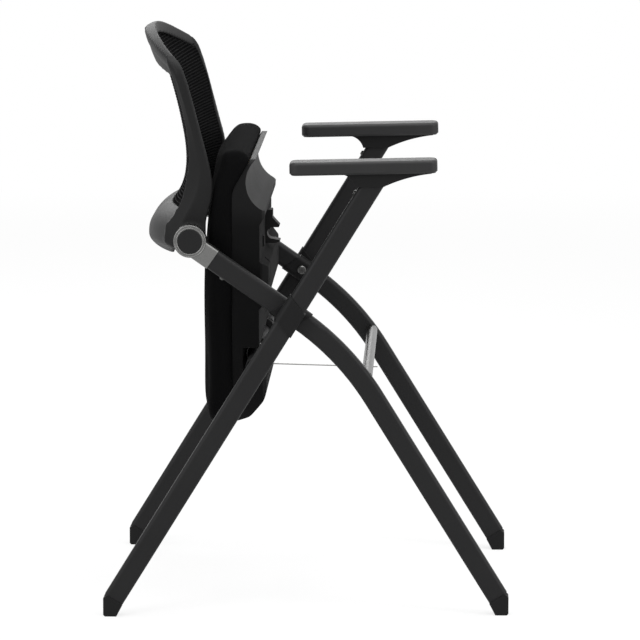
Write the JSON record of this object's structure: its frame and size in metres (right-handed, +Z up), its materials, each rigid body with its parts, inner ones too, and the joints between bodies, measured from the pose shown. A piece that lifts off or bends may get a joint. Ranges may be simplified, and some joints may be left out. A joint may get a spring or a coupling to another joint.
{
  "type": "nesting chair",
  "caption": "Nesting chair with crossed tube legs, arm pads, a sprung mesh back and a seat that flips up for storage, stored with the seat up.",
  "frame": {"origin": "on the floor, in the middle of the rectangle of the four feet", "axes": "+X the sitter's forward, +Y the sitter's left, +Z up"},
  "size_m": [0.587, 0.57, 0.841],
  "materials": {
    "black_tube": "fine matte black powder coat",
    "black_plastic": "fine moulded texture",
    "arm_plastic": "fine moulded grain",
    "silver_hub": "satin silver",
    "hub_cap_plastic": "fine moulded texture",
    "silver_bar": "satin zinc",
    "zinc_steel": "bright zinc",
    "spring_steel": "drawn wire",
    "shell_plastic": "semi-gloss, fine grain",
    "plywood": "raw birch ply",
    "seat_fabric": "black woven upholstery",
    "buffer_rubber": "matte",
    "back_plastic": "satin moulded black",
    "nylon_bush": "natural nylon",
    "back_mesh_fabric": "black ribbed net"
  },
  "bodies": {
    "frame": {"rear_leg_right": "black_tube", "rear_leg_left": "black_tube", "front_leg_right": "black_tube", "front_leg_left": "black_tube", "hinge_tube": "black_tube", "seat_stop_lugs": "black_tube", "rear_leg_sleeve_right": "black_plastic", "rear_leg_sleeve_left": "black_plastic", "front_leg_sleeve_right": "black_plastic", "front_leg_sleeve_left": "black_plastic", "rear_glide_right": "black_plastic", "rear_glide_left": "black_plastic", "front_glide_right": "black_plastic", "front_glide_left": "black_plastic", "arm_bracket_right": "black_plastic", "arm_bracket_left": "black_plastic", "arm_pad_right": "arm_plastic", "arm_pad_left": "arm_plastic", "hub_socket_right": "silver_hub", "hub_socket_left": "silver_hub", "hub_cap_right": "hub_cap_plastic", "hub_cap_left": "hub_cap_plastic", "front_crossbar": "silver_bar", "clamp_screws": "zinc_steel", "clamp_nuts": "zinc_steel", "arm_screws": "zinc_steel", "hub_screws": "zinc_steel", "hub_axles": "zinc_steel", "axle_washers": "zinc_steel", "axle_nuts": "zinc_steel", "seat_return_spring": "spring_steel", "hub_springs": "spring_steel"},
    "seat": {"seat_shell": "shell_plastic", "seat_board": "plywood", "seat_cushion": "seat_fabric", "shell_screws": "zinc_steel", "seat_hook": "black_plastic", "hook_screws": "zinc_steel", "hinge_saddles": "black_plastic", "hinge_caps": "black_plastic", "hinge_screws": "zinc_steel", "crossbar_buffers": "buffer_rubber"},
    "backrest": {"back_frame": "back_plastic", "back_bushes": "nylon_bush", "back_mesh": "back_mesh_fabric"}
  },
  "joints": [
    {"name": "seat_hinge", "type": "hinge", "parent": "frame", "child": "seat", "pos_m": [-0.076, 0, 0.3645], "axis": [0, 1, 0], "range_deg": [0, 90], "stiffness_Nm_per_rad": 0.4, "springref_deg": -28.65},
    {"name": "back_tilt", "type": "hinge", "parent": "frame", "child": "backrest", "pos_m": [-0.167, 0, 0.545], "axis": [0, -1, 0], "range_deg": [0, 12], "stiffness_Nm_per_rad": 60, "springref_deg": -5.73}
  ]
}
